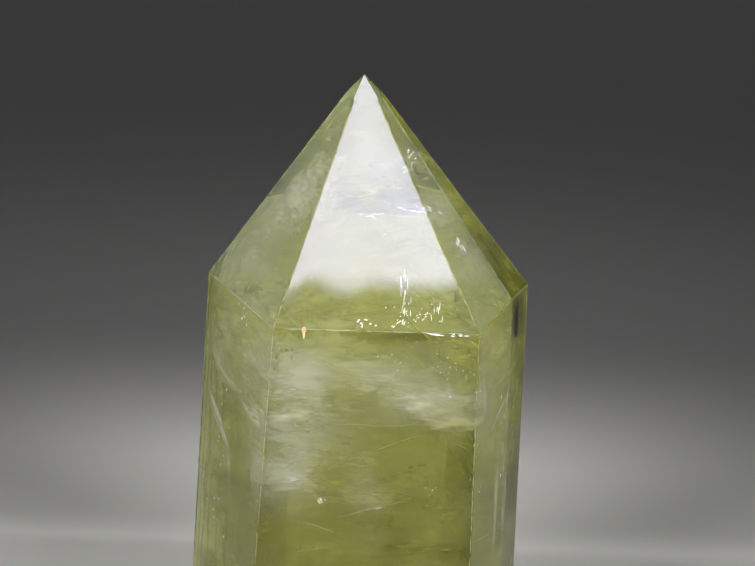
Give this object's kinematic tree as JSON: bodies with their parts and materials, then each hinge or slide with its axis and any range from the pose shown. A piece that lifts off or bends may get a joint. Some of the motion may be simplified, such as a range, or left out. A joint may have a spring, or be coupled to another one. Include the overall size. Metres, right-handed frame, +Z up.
{
  "type": "citrine crystal point",
  "caption": "Polished citrine crystal point: an uneven prism with a faceted cap, standing on a flat sawn base.",
  "frame": {"origin": "middle of the bounding box, on the flat sawn base that the crystal stands on", "axes": "+Z up along the growth axis to the tip; -Y faces the wide front face; +X is on the right seen from the front"},
  "size_m": [0.0756, 0.064, 0.1634],
  "materials": {
    "citrine": "polished"
  },
  "bodies": {
    "root": {"crystal_point": "citrine"}
  },
  "joints": []
}
